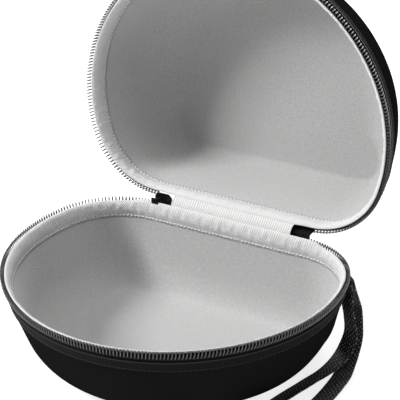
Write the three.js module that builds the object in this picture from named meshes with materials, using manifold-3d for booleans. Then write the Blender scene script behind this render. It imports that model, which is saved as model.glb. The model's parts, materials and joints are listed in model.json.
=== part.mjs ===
// Hard-shell carrying case for folded headphones.
//
// Two moulded foam bowls meet at a curved zip. A woven strip along the straight back edge is the hinge, and
// a flat webbing wrist strap hangs from the right-hand side. The model stands open, as it does in use.
// Millimetres. +X runs along the hinge to the right, +Y from front to back, +Z up.
import * as THREE from 'three';
import { mergeVertices } from 'three/addons/utils/BufferGeometryUtils.js';
import Module from 'manifold-3d';

const manifoldLibrary = await Module();
manifoldLibrary.setup();

// ---- Rim outline: three arcs a side, then a straight back edge -------------------------------------------
const FRONT_RADIUS = 101;
const SIDE_RADIUS = 92;
const CORNER_RADIUS = 45;
const FRONT_TURN = THREE.MathUtils.degToRad(64.5);
const SIDE_TURN = THREE.MathUtils.degToRad(42.5);
const CORNER_TURN = Math.PI - FRONT_TURN - SIDE_TURN;

// ---- Wall section, from the lining (0) out to the cover's face --------------------------------------------
const WALL_LEAN = THREE.MathUtils.degToRad(19.5);
const STRAIGHT_WALL = 35.5; // length of the leaning wall, down from the rim line
const BOTTOM_RADIUS = 31.8; // fillet between wall and flat bottom, on the lining's face
const BACK_INSET_SHARE = 0.3; // the hinge side stands up straighter than the rest
const LINING = [0, 0.55];
const CORE = [0.85, 2.3];
const COVER = [2.6, 3.2];
const COIL = [0.85, 3.2];
const THREAD = [3.5, 4.0];
const INNER_THREAD = [-0.8, -0.3];
const LEAF = [3.5, 4.1];
const HINGE_OUT = 4.3; // hinge axis, out from the lining's face

// ---- Bands down the wall, measured from the rim line ------------------------------------------------------
const COIL_BAND = [-1.8, 4.3];
const TAPE_BAND = [4.6, 14.3];
const COVER_TOP = 14.6;
const CORE_TOP = 4.6;
const BINDING_BAND = [0, 11];
const LINING_TOP = 11.3;
const TAPE_STITCH = 12.6;
const BINDING_STITCH = 9.2;
const STITCH_THICKNESS = 0.5;
const LEAF_BAND = [-1.9, 15];
const LINING_LEAF_BAND = [-1.9, -0.3];

// ---- Hinge and lid ----------------------------------------------------------------------------------------
const RIM_GAP = 5.1; // between the two rim lines of the closed case
const LID_OPEN = THREE.MathUtils.degToRad(94.5);
const HINGE_LEFT = -39.5;
const HINGE_RIGHT = 54.5;
const COIL_LEFT = -53.3;
const LID_COIL_LEFT = -62.4; // the lid's coil stops here, clear of the slider's way round the corner
const COIL_RIGHT = 57;

// ---- Slider, pull and strap -------------------------------------------------------------------------------
const SLIDER_FRONT = -52.8; // leading end, at the start of the rear left corner
const SLIDER_LENGTH = 11.6;
const SLIDER_HEIGHT = 8;
const SLIDER_NOSE = 2;
const OUTER_PLATE_GAP = 0.8; // from the coil's outer face
const INNER_PLATE_GAP = 0.4; // from the coil's inner face
const PLATE = 1.05;
const POST_HEIGHT = 1;
const INNER_PLATE_LENGTH = 4.6;
const INNER_PLATE_HEIGHT = 4;
const BAIL_SPAN = 7.6;
const BAIL_BAR = 1.1;
const BAIL_REACH = 2.4;
const PULL_LENGTH = 24;
const PULL_WIDTH = 6.6;
const PULL_THICKNESS = 1.3;
const EYE_BORE = 1.05;
const EYE_RADIUS = 1.75;
const EYE_LENGTH = 4.6;
const FIT_GAP = 0.3;
const STRAP_WIDTH = 11;
const STRAP_THICKNESS = 1.6;
const ANCHOR_TURN = THREE.MathUtils.degToRad(137);
const ANCHOR_HALF_TURN = THREE.MathUtils.degToRad(7);
const ANCHOR_BAND = [8, 20];
const ANCHOR_OUT = [4.3, 5.1];

// ---- Tessellation -----------------------------------------------------------------------------------------
const FRONT_STEPS = 7;
const SIDE_STEPS = 4;
const CORNER_STEPS = 7;
const STRAIGHT_STEPS = 3;
const FILLET_STEPS = 4;

/** The right-hand half of the rim line, front centre to the end of the rear corner, then the hinge line. */
function halfOutline() {
  const points = [];
  let turn = 0;
  let x = 0;
  let y = 0;
  const arcs = [[FRONT_RADIUS, FRONT_TURN, FRONT_STEPS], [SIDE_RADIUS, SIDE_TURN, SIDE_STEPS],
    [CORNER_RADIUS, CORNER_TURN, CORNER_STEPS]];
  for (const [radius, span, steps] of arcs) {
    for (let i = 0; i < steps; i += 1) {
      const t = turn + (span * i) / steps;
      points.push({
        x: x + radius * (Math.sin(t) - Math.sin(turn)),
        y: y + radius * (Math.cos(turn) - Math.cos(t)),
        turn: t,
      });
    }
    const end = turn + span;
    x += radius * (Math.sin(end) - Math.sin(turn));
    y += radius * (Math.cos(turn) - Math.cos(end));
    turn = end;
  }
  return { points, cornerEnd: { x, y, turn } };
}

const HALF = halfOutline();
const BACK_HALF = HALF.cornerEnd.x;
const BACK_Y = HALF.cornerEnd.y;

/** Stations round the whole rim, counter-clockwise from above, starting at the front centre. */
function ringStations() {
  const right = HALF.points;
  const mirror = (s) => ({ x: -s.x, y: s.y, turn: 2 * Math.PI - s.turn });
  const back = [];
  for (let i = 0; i <= 2 * STRAIGHT_STEPS; i += 1) {
    back.push({ x: BACK_HALF * (1 - i / STRAIGHT_STEPS), y: BACK_Y, turn: Math.PI });
  }
  const left = right.slice(1).reverse().map(mirror);
  return [...right, ...back, ...left];
}

/** Point of the rim line on the back edge or a rear corner, at the given x. */
function backStation(x) {
  const past = Math.abs(x) - BACK_HALF;
  if (past <= 0) return { x, y: BACK_Y, turn: Math.PI };
  const angle = Math.asin(past / CORNER_RADIUS);
  const y = BACK_Y - CORNER_RADIUS * (1 - Math.cos(angle));
  return { x, y, turn: Math.PI + (x < 0 ? angle : -angle) };
}

/** How much of the full inset the wall takes at a station: all of it in front, a small share at the hinge. */
function insetShare(turn) {
  const fromFront = Math.min(turn, 2 * Math.PI - turn);
  const ease = THREE.MathUtils.smoothstep(THREE.MathUtils.radToDeg(fromFront), 95, 165);
  return 1 - (1 - BACK_INSET_SHARE) * ease;
}

/** Lining-face profile at a distance down from the rim: inset, drop, and the slope from vertical. */
function profileAt(down) {
  if (down <= STRAIGHT_WALL) {
    return { inset: down * Math.sin(WALL_LEAN), drop: down * Math.cos(WALL_LEAN), slope: WALL_LEAN };
  }
  const slope = Math.min(WALL_LEAN + (down - STRAIGHT_WALL) / BOTTOM_RADIUS, Math.PI / 2);
  return {
    inset: STRAIGHT_WALL * Math.sin(WALL_LEAN) + BOTTOM_RADIUS * (Math.cos(WALL_LEAN) - Math.cos(slope)),
    drop: STRAIGHT_WALL * Math.cos(WALL_LEAN) + BOTTOM_RADIUS * (Math.sin(slope) - Math.sin(WALL_LEAN)),
    slope,
  };
}

const BOTTOM_DOWN = STRAIGHT_WALL + BOTTOM_RADIUS * (Math.PI / 2 - WALL_LEAN);
const RIM_Z = profileAt(BOTTOM_DOWN).drop + COVER[1];
const MID_Z = RIM_Z + RIM_GAP / 2;
const HINGE_Y = BACK_Y + HINGE_OUT;

/** A point on the wall: a station of the rim, a distance down the lining, and a distance out from it. */
function wallPoint(station, down, out) {
  const { inset, drop, slope } = profileAt(down);
  const share = insetShare(station.turn);
  const normal = new THREE.Vector2(Math.cos(slope), share * Math.sin(slope)).normalize();
  const outward = -inset * share + out * normal.x;
  return new THREE.Vector3(
    station.x + Math.sin(station.turn) * outward,
    station.y - Math.cos(station.turn) * outward,
    RIM_Z - drop - out * normal.y,
  );
}

/** Triangle soup that becomes an indexed geometry of positions. */
class Faces {
  constructor() { this.values = []; }

  triangle(a, b, c) { this.values.push(...a.toArray(), ...b.toArray(), ...c.toArray()); }

  quad(a, b, c, d) {
    this.triangle(a, b, c);
    this.triangle(a, c, d);
  }

  geometry() {
    const geometry = new THREE.BufferGeometry();
    geometry.setAttribute('position', new THREE.Float32BufferAttribute(this.values, 3));
    return mergeVertices(geometry, 1e-4);
  }
}

/** Closed skin through a chain of section loops; the ends are joined up, or capped with flat ends. */
function loft(sections, closed) {
  const faces = new Faces();
  const count = sections.length;
  const sides = sections[0].length;
  for (let i = 0; i < (closed ? count : count - 1); i += 1) {
    const here = sections[i];
    const next = sections[(i + 1) % count];
    for (let j = 0; j < sides; j += 1) {
      const k = (j + 1) % sides;
      faces.quad(here[j], next[j], next[k], here[k]);
    }
  }
  if (!closed) {
    const last = sections[count - 1];
    for (let j = 1; j < sides - 1; j += 1) {
      faces.triangle(sections[0][0], sections[0][j], sections[0][j + 1]);
      faces.triangle(last[0], last[j + 1], last[j]);
    }
  }
  return faces.geometry();
}

/** Distances down the wall at which a bowl's skin is sampled, from its top edge to the flat bottom. */
function bowlLevels(top) {
  const levels = [...new Set([top, COVER_TOP, STRAIGHT_WALL])];
  for (let i = 1; i <= FILLET_STEPS; i += 1) {
    levels.push(STRAIGHT_WALL + ((BOTTOM_DOWN - STRAIGHT_WALL) * i) / FILLET_STEPS);
  }
  return levels;
}

/** One moulded bowl layer: inner and outer skins from the top edge down, each closed by a flat bottom. */
function bowl(top, [inner, outer]) {
  const stations = ringStations();
  const levels = bowlLevels(top);
  const skin = (out) => levels.map((down) => stations.map((s) => wallPoint(s, down, out)));
  const inside = skin(inner);
  const outside = skin(outer);
  const faces = new Faces();
  const count = stations.length;
  for (let i = 0; i < count; i += 1) {
    const n = (i + 1) % count;
    for (let j = 0; j < levels.length - 1; j += 1) {
      faces.quad(outside[j][i], outside[j + 1][i], outside[j + 1][n], outside[j][n]);
      faces.quad(inside[j][i], inside[j][n], inside[j + 1][n], inside[j + 1][i]);
    }
    faces.quad(outside[0][n], inside[0][n], inside[0][i], outside[0][i]);
    const lastOut = outside[levels.length - 1];
    const lastIn = inside[levels.length - 1];
    faces.triangle(lastOut[n], lastOut[i], new THREE.Vector3(0, BACK_Y / 2, lastOut[0].z));
    faces.triangle(lastIn[i], lastIn[n], new THREE.Vector3(0, BACK_Y / 2, lastIn[0].z));
  }
  return faces.geometry();
}

/** Section of a band on the wall: a four-cornered loop between two levels and two offsets. */
function bandSection(station, [top, bottom], [inner, outer]) {
  return [wallPoint(station, top, inner), wallPoint(station, bottom, inner),
    wallPoint(station, bottom, outer), wallPoint(station, top, outer)];
}

/** Round-backed section of the zip coil. */
function coilSection(station, [top, bottom], [inner, outer]) {
  const shoulder = 0.8;
  return [wallPoint(station, top + shoulder, inner), wallPoint(station, bottom, inner),
    wallPoint(station, bottom, outer - shoulder), wallPoint(station, bottom - shoulder, outer),
    wallPoint(station, top + shoulder, outer), wallPoint(station, top, outer - shoulder),
    wallPoint(station, top, inner + shoulder)];
}

/** Stations of the zip: round the front from the right end of the hinge to its left end. */
function zipStations(left = COIL_LEFT) {
  const all = ringStations();
  const behind = (s) => s.y > BACK_Y - CORNER_RADIUS && s.x < COIL_RIGHT && s.x > left;
  const leftSide = all.filter((s, i) => i > all.length / 2 && !behind(s));
  const rightSide = all.filter((s, i) => i <= all.length / 2 && !behind(s));
  return [backStation(left), ...leftSide, ...rightSide, backStation(COIL_RIGHT)];
}

/** Stations along the hinge, counter-clockwise like the rest. */
function hingeStations() {
  return [HINGE_RIGHT, 0, HINGE_LEFT].map(backStation);
}

function band(stations, levels, offsets, closed = false, section = bandSection) {
  return loft(stations.map((s) => section(s, levels, offsets)), closed);
}

/** A sewing thread lying on the wall, as one thin rod along the seam. */
function threadOn(stations, down, [inner, outer], closed = false) {
  return band(stations, [down, down + STITCH_THICKNESS], [inner, outer], closed);
}

/** The same shape upside down in the other half of the closed case, turned about the hinge axis. */
function asLid(geometry) {
  const lid = geometry.clone();
  lid.applyMatrix4(new THREE.Matrix4().makeScale(1, 1, -1));
  lid.translate(0, -HINGE_Y, MID_Z);
  const index = lid.getIndex();
  for (let i = 0; i < index.count; i += 3) {
    const keep = index.getX(i);
    index.setX(i, index.getX(i + 1));
    index.setX(i + 1, keep);
  }
  return lid;
}

/** Union of closed geometries as one closed geometry. */
function join(...geometries) {
  const solids = geometries.map((geometry) => {
    const bare = geometry.clone();
    bare.deleteAttribute('normal');
    bare.deleteAttribute('uv');
    const merged = mergeVertices(bare, 1e-4);
    return new manifoldLibrary.Manifold(new manifoldLibrary.Mesh({
      numProp: 3,
      vertProperties: Float32Array.from(merged.getAttribute('position').array),
      triVerts: Uint32Array.from(merged.getIndex().array),
    }));
  });
  return fromManifold(solids.reduce((sum, solid) => sum.add(solid)));
}

function fromManifold(solid) {
  const mesh = solid.getMesh();
  const geometry = new THREE.BufferGeometry();
  geometry.setAttribute('position', new THREE.Float32BufferAttribute(mesh.vertProperties, 3));
  geometry.setIndex([...mesh.triVerts]);
  return geometry;
}

/** Box between two corners. */
function boxBetween(low, high) {
  const size = high.map((v, i) => v - low[i]);
  const geometry = new THREE.BoxGeometry(...size);
  geometry.translate(...high.map((v, i) => (v + low[i]) / 2));
  return geometry;
}

/** Y of the slider's outer face, where the bail stands. */
const SLIDER_FACE = BACK_Y + COIL[1] + OUTER_PLATE_GAP + PLATE;
const SLIDER_X = SLIDER_FRONT + SLIDER_LENGTH / 2;
const PULL_AXIS_Y = SLIDER_FACE + FIT_GAP + BAIL_REACH - BAIL_BAR / 2;

/** Slider: outer and inner plates on either side of the coils, joined by a post between the two coils. */
function sliderBody() {
  const innerFace = BACK_Y + COIL[0] - INNER_PLATE_GAP;
  const back = SLIDER_FRONT + SLIDER_LENGTH;
  const half = SLIDER_HEIGHT / 2;
  const outline = new THREE.Shape();
  outline.moveTo(SLIDER_FRONT, -half + SLIDER_NOSE);
  outline.lineTo(SLIDER_FRONT + SLIDER_NOSE, -half);
  outline.lineTo(back - SLIDER_NOSE, -half);
  outline.lineTo(back, -half + SLIDER_NOSE);
  outline.lineTo(back, half - SLIDER_NOSE);
  outline.lineTo(back - SLIDER_NOSE, half);
  outline.lineTo(SLIDER_FRONT + SLIDER_NOSE, half);
  outline.lineTo(SLIDER_FRONT, half - SLIDER_NOSE);
  const plate = new THREE.ExtrudeGeometry(outline, { depth: PLATE, bevelEnabled: false });
  plate.rotateX(Math.PI / 2);
  plate.translate(0, SLIDER_FACE, MID_Z);
  const inner = boxBetween(
    [SLIDER_FRONT, innerFace - PLATE, MID_Z - INNER_PLATE_HEIGHT / 2],
    [SLIDER_FRONT + INNER_PLATE_LENGTH, innerFace, MID_Z + INNER_PLATE_HEIGHT / 2],
  );
  const post = boxBetween(
    [SLIDER_FRONT + 1, innerFace - PLATE / 2, MID_Z - POST_HEIGHT / 2],
    [SLIDER_FRONT + INNER_PLATE_LENGTH - 1, SLIDER_FACE - PLATE / 2, MID_Z + POST_HEIGHT / 2],
  );
  return join(plate, inner, post);
}

/** Bail: a bridge that stands on the slider's outer plate. Its bar is the pull's hinge pin. */
function sliderBail() {
  const foot = SLIDER_FACE + FIT_GAP;
  const block = (x0, x1, y0) => boxBetween(
    [x0, y0, MID_Z - BAIL_BAR / 2],
    [x1, foot + BAIL_REACH, MID_Z + BAIL_BAR / 2],
  );
  const left = SLIDER_X - BAIL_SPAN / 2;
  const right = SLIDER_X + BAIL_SPAN / 2;
  return join(
    block(left, left + BAIL_BAR, foot),
    block(right - BAIL_BAR, right, foot),
    block(left, right, foot + BAIL_REACH - BAIL_BAR),
  );
}

/** Pull: a flat tab that hangs from a rolled eye round the bail's bar, with a grip hole at its end. */
function pullTab() {
  const eyeShape = new THREE.Shape();
  eyeShape.absarc(0, 0, EYE_RADIUS, 0, 2 * Math.PI, false);
  const bore = new THREE.Path();
  bore.absarc(0, 0, EYE_BORE, 0, 2 * Math.PI, true);
  eyeShape.holes.push(bore);
  const eye = new THREE.ExtrudeGeometry(eyeShape, { depth: EYE_LENGTH, bevelEnabled: false, curveSegments: 8 });
  eye.rotateY(Math.PI / 2);
  eye.translate(SLIDER_X - EYE_LENGTH / 2, PULL_AXIS_Y, MID_Z);

  const half = PULL_WIDTH / 2;
  const end = -PULL_LENGTH + half;
  const neck = EYE_LENGTH / 2;
  const tabShape = new THREE.Shape();
  tabShape.moveTo(neck, -EYE_RADIUS + 0.3);
  tabShape.lineTo(-neck, -EYE_RADIUS + 0.3);
  tabShape.lineTo(-half, -2 * EYE_RADIUS);
  tabShape.lineTo(-half, end);
  tabShape.absarc(0, end, half, Math.PI, 2 * Math.PI, false);
  tabShape.lineTo(half, -2 * EYE_RADIUS);
  const grip = new THREE.Path();
  grip.absarc(0, end, half / 2, 0, 2 * Math.PI, true);
  tabShape.holes.push(grip);
  const tab = new THREE.ExtrudeGeometry(tabShape, {
    depth: PULL_THICKNESS, bevelEnabled: false, curveSegments: 6,
  });
  tab.rotateX(Math.PI / 2);
  tab.translate(SLIDER_X, PULL_AXIS_Y + PULL_THICKNESS / 2, MID_Z);
  return join(eye, tab);
}

/** Anchor: a folded stub of webbing sewn under the zip tape at the rear right corner. */
function strapAnchor() {
  const stations = [-1, 0, 1].map((side) => cornerStation(ANCHOR_TURN + side * ANCHOR_HALF_TURN));
  return band(stations, ANCHOR_BAND, ANCHOR_OUT);
}

/** Point of the rim line on the rear right corner at a given turn. */
function cornerStation(turn) {
  return {
    x: BACK_HALF + CORNER_RADIUS * Math.sin(turn),
    y: BACK_Y - CORNER_RADIUS * (1 + Math.cos(turn)),
    turn,
  };
}

/**
 * Wrist strap: one length of flat webbing. The outer leg drops from the anchor and runs forward over the
 * surface, turns back on its edge, and the inner leg returns over it. Each row is x, y, z, then the compass
 * angle and the rise of the webbing's width, in degrees.
 */
const STRAP_ROUTE = [
  [88, 147.8, 46.6, -44, 0],
  [90, 148.1, 38, -42, 0],
  [91.5, 148.3, 30.3, -33, 0],
  [92, 146.6, 21.2, -17, 0],
  [93, 143.6, 12.9, -10, 0],
  [94.5, 137.4, 7.8, -4, 0],
  [95.5, 131.6, 4.2, -1, 0],
  [97, 124.9, 2.4, 2, 0],
  [99.1, 116.6, 1.3, 5, 0],
  [101, 102.7, 1.2, 5, 0],
  [101.8, 88.6, 1.2, 3, 0],
  [101.7, 77, 1.4, 0, 2],
  [101.4, 66, 2.6, 0, 14],
  [101, 56, 4.4, 0, 40],
  [99.6, 46, 5.9, 0, 72],
  [95.8, 38, 6.2, 0, 90],
  [89.5, 35, 6.2, 0, 90],
  [83.2, 38, 6.2, 0, 90],
  [80, 46, 5.9, 0, 72],
  [79.6, 56, 4.4, 0, 40],
  [80.2, 66, 3.1, -8, 20],
  [81.8, 75.7, 2.6, -11, 15],
  [83.5, 84, 2.6, -16, 15],
  [85.5, 92, 2.7, -18, 15],
  [87.5, 100, 3, -20, 15],
  [90.3, 106.8, 4, -18, 14],
  [92.1, 113, 5, -12, 12],
  [92.9, 120.4, 5.6, -6, 8],
  [92.4, 132, 7.4, -8, 3],
  [92.3, 139.3, 14.1, -18, 0],
  [91, 140.4, 24.5, -26, 0],
  [89, 141.9, 32.9, -28, 0],
  [87.9, 145, 40, -38, 0],
  [86.8, 146.7, 46, -44, 0],
];
const STRAP_STEPS = 74;

/** Eight-sided flattened section of the webbing. */
function webbingSection(centre, along, width) {
  const across = width.clone().addScaledVector(along, -width.dot(along)).normalize();
  const through = new THREE.Vector3().crossVectors(across, along);
  const halfWidth = STRAP_WIDTH / 2;
  const half = STRAP_THICKNESS / 2;
  const edge = half * 0.6;
  const corners = [[halfWidth, -edge], [halfWidth, edge], [halfWidth - edge, half], [-halfWidth + edge, half],
    [-halfWidth, edge], [-halfWidth, -edge], [-halfWidth + edge, -half], [halfWidth - edge, -half]];
  return corners.map(([a, b]) => centre.clone().addScaledVector(across, a).addScaledVector(through, b));
}

/** Unit vector at a compass angle and rise, in degrees. */
function direction(angle, rise) {
  const flat = Math.cos(THREE.MathUtils.degToRad(rise));
  const turn = THREE.MathUtils.degToRad(angle);
  return new THREE.Vector3(flat * Math.cos(turn), flat * Math.sin(turn), Math.sin(THREE.MathUtils.degToRad(rise)));
}

function wristStrap() {
  const path = new THREE.CatmullRomCurve3(STRAP_ROUTE.map(([x, y, z]) => new THREE.Vector3(x, y, z)));
  const widths = new THREE.CatmullRomCurve3(STRAP_ROUTE.map(([, , , angle, rise]) => direction(angle, rise)));
  const sections = [];
  for (let i = 0; i <= STRAP_STEPS; i += 1) {
    const t = i / STRAP_STEPS;
    sections.push(webbingSection(path.getPoint(t), path.getTangent(t), widths.getPoint(t)));
  }
  return loft(sections, false);
}

// ---- Materials --------------------------------------------------------------------------------------------
const FINISHES = {
  skin: { color: 0x1b1b1d, roughness: 0.62, metalness: 0 },
  foam: { color: 0x2b2b2d, roughness: 0.9, metalness: 0 },
  knit: { color: 0xbdbdbf, roughness: 0.95, metalness: 0 },
  twill: { color: 0xd4d4d6, roughness: 0.9, metalness: 0 },
  tape: { color: 0x161617, roughness: 0.85, metalness: 0 },
  nylon: { color: 0x111112, roughness: 0.42, metalness: 0 },
  thread: { color: 0x2a2a2c, roughness: 0.6, metalness: 0 },
  paleThread: { color: 0xe2e2e3, roughness: 0.7, metalness: 0 },
  metal: { color: 0x3a3b3e, roughness: 0.34, metalness: 0.9 },
  webbing: { color: 0x141415, roughness: 0.8, metalness: 0 },
};

function part(name, geometry, finish) {
  const mesh = new THREE.Mesh(geometry, new THREE.MeshStandardMaterial(FINISHES[finish]));
  mesh.name = name;
  return mesh;
}

/** The pieces that both halves have, as name, geometry and finish. */
function halfPieces(coilLeft) {
  const ring = ringStations();
  const zip = zipStations();
  return [
    ['shell_core', bowl(CORE_TOP, CORE), 'foam'],
    ['outer_cover', bowl(COVER_TOP, COVER), 'skin'],
    ['lining', bowl(LINING_TOP, LINING), 'knit'],
    ['inner_binding', band(ring, BINDING_BAND, LINING, true), 'twill'],
    ['zip_tape', band(zip, TAPE_BAND, COVER), 'tape'],
    ['zip_coil', band(zipStations(coilLeft), COIL_BAND, COIL, false, coilSection), 'nylon'],
    ['tape_stitch', threadOn(zip, TAPE_STITCH, THREAD), 'thread'],
    ['binding_stitch', threadOn(ring, BINDING_STITCH, INNER_THREAD, true), 'paleThread'],
    ['hinge_strip_leaf', band(hingeStations(), LEAF_BAND, LEAF), 'tape'],
    ['hinge_lining_leaf', band(hingeStations(), LINING_LEAF_BAND, LINING), 'twill'],
  ];
}

const base = new THREE.Group();
const lid = new THREE.Group();
lid.position.set(0, HINGE_Y, MID_Z);
lid.rotation.x = -LID_OPEN;
for (const [name, geometry, finish] of halfPieces(COIL_LEFT)) base.add(part(`base_${name}`, geometry, finish));
for (const [name, geometry, finish] of halfPieces(LID_COIL_LEFT)) {
  lid.add(part(`lid_${name}`, asLid(geometry), finish));
}
base.add(part('slider_body', sliderBody(), 'metal'));
base.add(part('slider_bail', sliderBail(), 'metal'));
base.add(part('pull_tab', pullTab(), 'metal'));
base.add(part('strap_anchor', strapAnchor(), 'webbing'));

// The origin is under the middle of the open case, on the surface that it stands on.
const assembly = new THREE.Group();
assembly.add(base, lid);
assembly.updateMatrixWorld(true);
const middle = new THREE.Box3().setFromObject(assembly, true).getCenter(new THREE.Vector3());
base.add(part('wrist_strap', wristStrap(), 'webbing'));
assembly.position.set(0, -middle.y, 0);

const group = new THREE.Group();
group.add(assembly);
export default group;
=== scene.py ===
# %% [markdown]
# # A hard-shell case for headphones
# The case is two moulded foam bowls, covered outside with a black coated cloth and lined with a pale knit.
# A coil zip runs round three sides, and a woven strip on the fourth side is the hinge. Every layer follows
# the same rim line and wall section. So the lesson writes that section once, as a formula worked out with
# numpy, and places each layer by its distance down the wall and out from the lining.

# %% Load the frame and keep its box
import json
import math

import bmesh
import bpy
import numpy as np
from mathutils import Matrix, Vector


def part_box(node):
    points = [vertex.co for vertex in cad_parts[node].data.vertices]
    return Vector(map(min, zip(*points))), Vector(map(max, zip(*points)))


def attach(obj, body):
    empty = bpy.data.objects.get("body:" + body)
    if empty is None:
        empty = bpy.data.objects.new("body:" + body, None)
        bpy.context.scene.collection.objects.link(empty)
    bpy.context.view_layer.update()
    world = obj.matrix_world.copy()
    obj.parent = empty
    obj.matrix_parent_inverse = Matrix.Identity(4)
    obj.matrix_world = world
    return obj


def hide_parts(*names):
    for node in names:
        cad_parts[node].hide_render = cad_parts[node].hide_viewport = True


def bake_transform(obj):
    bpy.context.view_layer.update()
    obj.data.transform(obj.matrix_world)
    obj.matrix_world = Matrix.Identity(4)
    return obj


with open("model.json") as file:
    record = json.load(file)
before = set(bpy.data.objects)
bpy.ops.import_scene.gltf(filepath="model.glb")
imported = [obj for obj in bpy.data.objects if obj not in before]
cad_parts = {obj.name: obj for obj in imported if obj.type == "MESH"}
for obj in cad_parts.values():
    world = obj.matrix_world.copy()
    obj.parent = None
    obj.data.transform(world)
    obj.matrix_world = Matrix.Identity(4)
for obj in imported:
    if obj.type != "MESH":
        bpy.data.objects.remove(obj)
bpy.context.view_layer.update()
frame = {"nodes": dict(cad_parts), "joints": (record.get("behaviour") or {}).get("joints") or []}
JOINTS = {joint["name"]: joint for joint in frame["joints"]}

# %% [markdown]
# ## The camera
# A long lens looks down on the open case from its front right-hand corner. The camera comes first because
# the free end of the wrist strap is laid out for it.

# %% Camera
MM = 0.001
FOCAL_LENGTH_MM = 210.05
CAMERA_PLACE = (0.643579, -1.015354, 0.709017)
CAMERA_RIGHT = (0.856837, 0.514366, -0.035458)
CAMERA_UP = (-0.208031, 0.407827, 0.889044)
CAMERA_BACK = (0.471755, -0.754390, 0.456446)
lens = bpy.data.cameras.new("camera")
lens.sensor_width = 36
lens.lens = FOCAL_LENGTH_MM
lens.clip_end = 20
camera = bpy.data.objects.new("camera", lens)
turned = Matrix((CAMERA_RIGHT, CAMERA_UP, CAMERA_BACK)).transposed().to_4x4()
camera.matrix_world = Matrix.Translation(CAMERA_PLACE) @ turned
bpy.context.scene.collection.objects.link(camera)
bpy.context.scene.camera = camera
print("camera", [round(v, 3) for v in CAMERA_PLACE])

# %% [markdown]
# ## The rim line and the wall
# The rim line is three tangent arcs on each side and a straight back edge. The wall leans in from it, then
# turns through a fillet into the flat bottom. Every layer is a band of this wall, so one function gives any
# point from the distance along the rim, the distance down the wall and the distance out from the lining.

# %% Sizes, in millimetres
RIM_ARCS = ((101.0, math.radians(64.5)), (92.0, math.radians(42.5)), (45.0, math.radians(73.0)))
WALL_LEAN = math.radians(19.5)
STRAIGHT_WALL = 35.5
BOTTOM_RADIUS = 31.8
BACK_INSET_SHARE = 0.3
CORNER_EASE_FROM, CORNER_EASE_OVER = 95, 70
SKIN_OUT = 3.2
BOTTOM_DOWN = STRAIGHT_WALL + BOTTOM_RADIUS * (math.pi / 2 - WALL_LEAN)
BOTTOM_DROP = STRAIGHT_WALL * math.cos(WALL_LEAN) + BOTTOM_RADIUS * (1 - math.sin(WALL_LEAN))
RIM_Z = BOTTOM_DROP + SKIN_OUT
HINGE_Y = JOINTS["lid_hinge"]["pos_m"][1] / MM
MID_Z = JOINTS["lid_hinge"]["pos_m"][2] / MM
HINGE_OUT = 4.3
LID_OPEN = -math.radians(JOINTS["lid_hinge"]["range_deg"][0])
ARC_LENGTH = sum(radius * span for radius, span in RIM_ARCS)


def half_rim(along):
    """Follows each arc in turn: x and y grow by the arc's radius times the change of the sine and cosine of
    the heading. What is left of the length runs straight back towards the middle of the hinge."""
    x, y, heading = np.zeros_like(along), np.zeros_like(along), np.zeros_like(along)
    left, start = along, 0.0
    for radius, span in RIM_ARCS:
        turn = np.clip(left / radius, 0, span)
        x = x + radius * (np.sin(start + turn) - math.sin(start))
        y = y + radius * (math.cos(start) - np.cos(start + turn))
        heading, left, start = heading + turn, left - radius * turn, start + span
    return x - np.maximum(left, 0), y, heading


BACK_HALF, BACK_Y = (float(v[0]) for v in half_rim(np.array([ARC_LENGTH]))[:2])
HALF_RIM = ARC_LENGTH + BACK_HALF
RIM_LENGTH = 2 * HALF_RIM
SHIFT_Y = BACK_Y + HINGE_OUT - HINGE_Y
print(f"rim line {RIM_LENGTH:.1f} mm long, {BACK_Y:.1f} deep; back edge {2 * BACK_HALF:.1f}")


def rim(along):
    """The whole rim, counter-clockwise from the front centre: the second half mirrors the first."""
    along = np.mod(along, RIM_LENGTH)
    mirrored = along > HALF_RIM
    x, y, heading = half_rim(np.where(mirrored, RIM_LENGTH - along, along))
    return np.where(mirrored, -x, x), y, np.where(mirrored, 2 * math.pi - heading, heading)


def wall(along, down, out):
    """A point is its rim point, moved in by the wall's inset and out along the wall's normal. The inset and
    drop are a straight leaning line, then a fillet. Near the hinge the wall takes a smaller share of the
    inset, eased in round the rear corners."""
    along, down, out = np.broadcast_arrays(*(np.asarray(v, float) for v in (along, down, out)))
    x, y, heading = rim(along)
    turned_by = np.degrees(np.minimum(heading, 2 * math.pi - heading))
    ease = np.clip((turned_by - CORNER_EASE_FROM) / CORNER_EASE_OVER, 0, 1)
    share = 1 - (1 - BACK_INSET_SHARE) * ease * ease * (3 - 2 * ease)
    leaning = np.minimum(down, STRAIGHT_WALL)
    slope = np.clip(WALL_LEAN + (down - STRAIGHT_WALL) / BOTTOM_RADIUS, WALL_LEAN, math.pi / 2)
    inset = leaning * math.sin(WALL_LEAN) + BOTTOM_RADIUS * (math.cos(WALL_LEAN) - np.cos(slope))
    drop = leaning * math.cos(WALL_LEAN) + BOTTOM_RADIUS * (np.sin(slope) - math.sin(WALL_LEAN))
    level, fall = np.cos(slope), share * np.sin(slope)
    size = np.hypot(level, fall)
    outward = -inset * share + out * level / size
    return np.stack([x + np.sin(heading) * outward, y - np.cos(heading) * outward - SHIFT_Y,
                     RIM_Z - drop - out * fall / size], axis=-1)


def as_lid(points):
    """The base's point, mirrored in the plane between the halves, then turned open about the hinge."""
    y, z = points[..., 1] - HINGE_Y, MID_Z - points[..., 2]
    c, s = math.cos(-LID_OPEN), math.sin(-LID_OPEN)
    return np.stack([points[..., 0], HINGE_Y + c * y - s * z, MID_Z + s * y + c * z], axis=-1)


def back_along(x):
    """Distance along the rim at which the back edge, or a rear corner beyond it, has this x."""
    past = max(abs(x) - BACK_HALF, 0)
    corner = RIM_ARCS[2][0]
    length = HALF_RIM - min(abs(x), BACK_HALF) - corner * math.asin(past / corner)
    return length if x >= 0 else RIM_LENGTH - length


print("rim height", round(RIM_Z, 2), "lid open by", round(math.degrees(LID_OPEN), 1), "degrees")

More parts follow.
